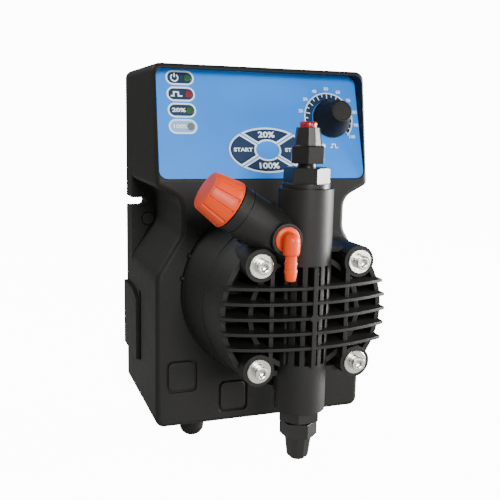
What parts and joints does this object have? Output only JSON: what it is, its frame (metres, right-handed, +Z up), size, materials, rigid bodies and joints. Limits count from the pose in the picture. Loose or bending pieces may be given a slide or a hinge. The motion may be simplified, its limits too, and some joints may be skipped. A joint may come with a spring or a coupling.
{
  "type": "diaphragm metering pump",
  "caption": "Wall-mounted solenoid dosing pump: waisted casing, sloping control panel with rate knob and ring keypad, and a finned pump head with upright valves and an angled vent.",
  "frame": {"origin": "where the pump's drive axis meets the wall, on the rear cover's back face", "axes": "+X to the right seen from the front, -Y out of the wall towards the viewer, +Z up"},
  "size_m": [0.1302, 0.1633, 0.2226],
  "materials": {
    "case_plastic": "black polypropylene, lightly textured",
    "head_plastic": "black glass-filled polypropylene, satin",
    "label_film": "blue printed polyester film",
    "key_film": "dark blue printed film over a moulded key",
    "lens_green": "green lens",
    "lens_red": "red lens",
    "lens_clear": "clear grey lens",
    "knob_plastic": "black, fine matt",
    "circuit_board": "green solder mask",
    "switch_plastic": "black moulding",
    "plated_steel": "zinc-plated steel",
    "stainless": "stainless steel, turned",
    "potted_case": "dark blue potting case",
    "capacitor_sleeve": "shrink sleeve",
    "terminal_plastic": "green moulding",
    "copper_wire": "enamelled copper winding",
    "bobbin_plastic": "natural nylon",
    "bronze": "sintered bronze",
    "diaphragm_face": "fluoropolymer-faced rubber",
    "seal_rubber": "black elastomer",
    "valve_plastic": "dark grey polymer",
    "ceramic": "polished ceramic",
    "fitting_plastic": "black polymer, satin",
    "collet_plastic": "red acetal",
    "vent_plastic": "orange-red polymer"
  },
  "bodies": {
    "pump": {"casing": "case_plastic", "rear_cover": "case_plastic", "blanking_cap_left": "case_plastic", "blanking_cap_right": "case_plastic", "gland_body": "case_plastic", "gland_nut": "case_plastic", "gland_locknut": "case_plastic", "adapter_ring": "case_plastic", "cover_gasket": "seal_rubber", "gland_seal": "seal_rubber", "valve_seals": "seal_rubber", "elbow_ring": "seal_rubber", "head_screws": "stainless", "head_washers": "stainless", "return_spring": "stainless", "cover_screws": "plated_steel", "board_screws": "plated_steel", "solenoid_housing": "plated_steel", "pole_plate": "plated_steel", "panel_film": "label_film", "lens_green": "lens_green", "lens_red": "lens_red", "lens_clear": "lens_clear", "key_switches": "switch_plastic", "pot_body": "switch_plastic", "control_board": "circuit_board", "transformer": "potted_case", "capacitor": "capacitor_sleeve", "terminal_block": "terminal_plastic", "coil_bobbin": "bobbin_plastic", "solenoid_coil": "copper_wire", "shaft_bush": "bronze", "back_plate": "head_plastic", "pump_head": "head_plastic", "diaphragm": "diaphragm_face", "discharge_valve": "valve_plastic", "suction_valve": "valve_plastic", "discharge_connector": "fitting_plastic", "suction_connector": "fitting_plastic", "discharge_nut": "fitting_plastic", "suction_nut": "fitting_plastic", "discharge_nipple": "fitting_plastic", "suction_nipple": "fitting_plastic", "discharge_collet": "collet_plastic", "suction_collet": "collet_plastic"},
    "rate_dial": {"rate_knob": "knob_plastic", "pot_shaft": "knob_plastic"},
    "low_rate_key": {"key_low_rate": "key_film"},
    "high_rate_key": {"key_high_rate": "key_film"},
    "start_key": {"key_start": "key_film"},
    "stop_key": {"key_stop": "key_film"},
    "drive": {"armature": "plated_steel", "drive_shaft": "stainless", "diaphragm_insert": "plated_steel"},
    "discharge_check": {"discharge_ball": "ceramic"},
    "suction_check": {"suction_ball": "ceramic"},
    "vent_spindle": {"vent_stem": "valve_plastic", "vent_seal": "seal_rubber"},
    "vent_handle": {"vent_knob": "vent_plastic"},
    "vent_spout": {"vent_elbow": "vent_plastic"}
  },
  "joints": [
    {"name": "rate_knob_turn", "type": "hinge", "parent": "pump", "child": "rate_dial", "pos_m": [0.0429, -0.07564, 0.09562], "axis": [0, -0.9527, 0.304], "range_deg": [-128, 128]},
    {"name": "low_rate_key_press", "type": "slide", "parent": "pump", "child": "low_rate_key", "axis": [0, 0.9527, -0.304], "range_m": [0, 0.0004], "stiffness_N_per_m": 1500},
    {"name": "high_rate_key_press", "type": "slide", "parent": "pump", "child": "high_rate_key", "axis": [0, 0.9527, -0.304], "range_m": [0, 0.0004], "stiffness_N_per_m": 1500},
    {"name": "start_key_press", "type": "slide", "parent": "pump", "child": "start_key", "axis": [0, 0.9527, -0.304], "range_m": [0, 0.0004], "stiffness_N_per_m": 1500},
    {"name": "stop_key_press", "type": "slide", "parent": "pump", "child": "stop_key", "axis": [0, 0.9527, -0.304], "range_m": [0, 0.0004], "stiffness_N_per_m": 1500},
    {"name": "drive_stroke", "type": "slide", "parent": "pump", "child": "drive", "axis": [0, -1, 0], "range_m": [0, 0.00125], "stiffness_N_per_m": 5000, "deforming": ["return_spring", "diaphragm"]},
    {"name": "discharge_ball_lift", "type": "slide", "parent": "pump", "child": "discharge_check", "axis": [0, 0, 1], "range_m": [0, 0.0015]},
    {"name": "suction_ball_lift", "type": "slide", "parent": "pump", "child": "suction_check", "axis": [0, 0, 1], "range_m": [0, 0.0015]},
    {"name": "vent_stem_slide", "type": "slide", "parent": "pump", "child": "vent_spindle", "axis": [-0.8462, 0, 0.5329], "range_m": [0, 0.0015]},
    {"name": "vent_knob_turn", "type": "hinge", "parent": "vent_spindle", "child": "vent_handle", "pos_m": [-0.03808, -0.1407, 0.05358], "axis": [-0.8462, 0, 0.5329], "range_deg": [0, 360]},
    {"name": "vent_elbow_swivel", "type": "hinge", "parent": "pump", "child": "vent_spout", "pos_m": [-0.01481, -0.155, 0.03893], "axis": [0, -1, 0], "continuous": true}
  ],
  "couplings": [
    {"joint": "vent_stem_slide", "follows": "vent_knob_turn", "m_per_rad": 0.00023873}
  ]
}
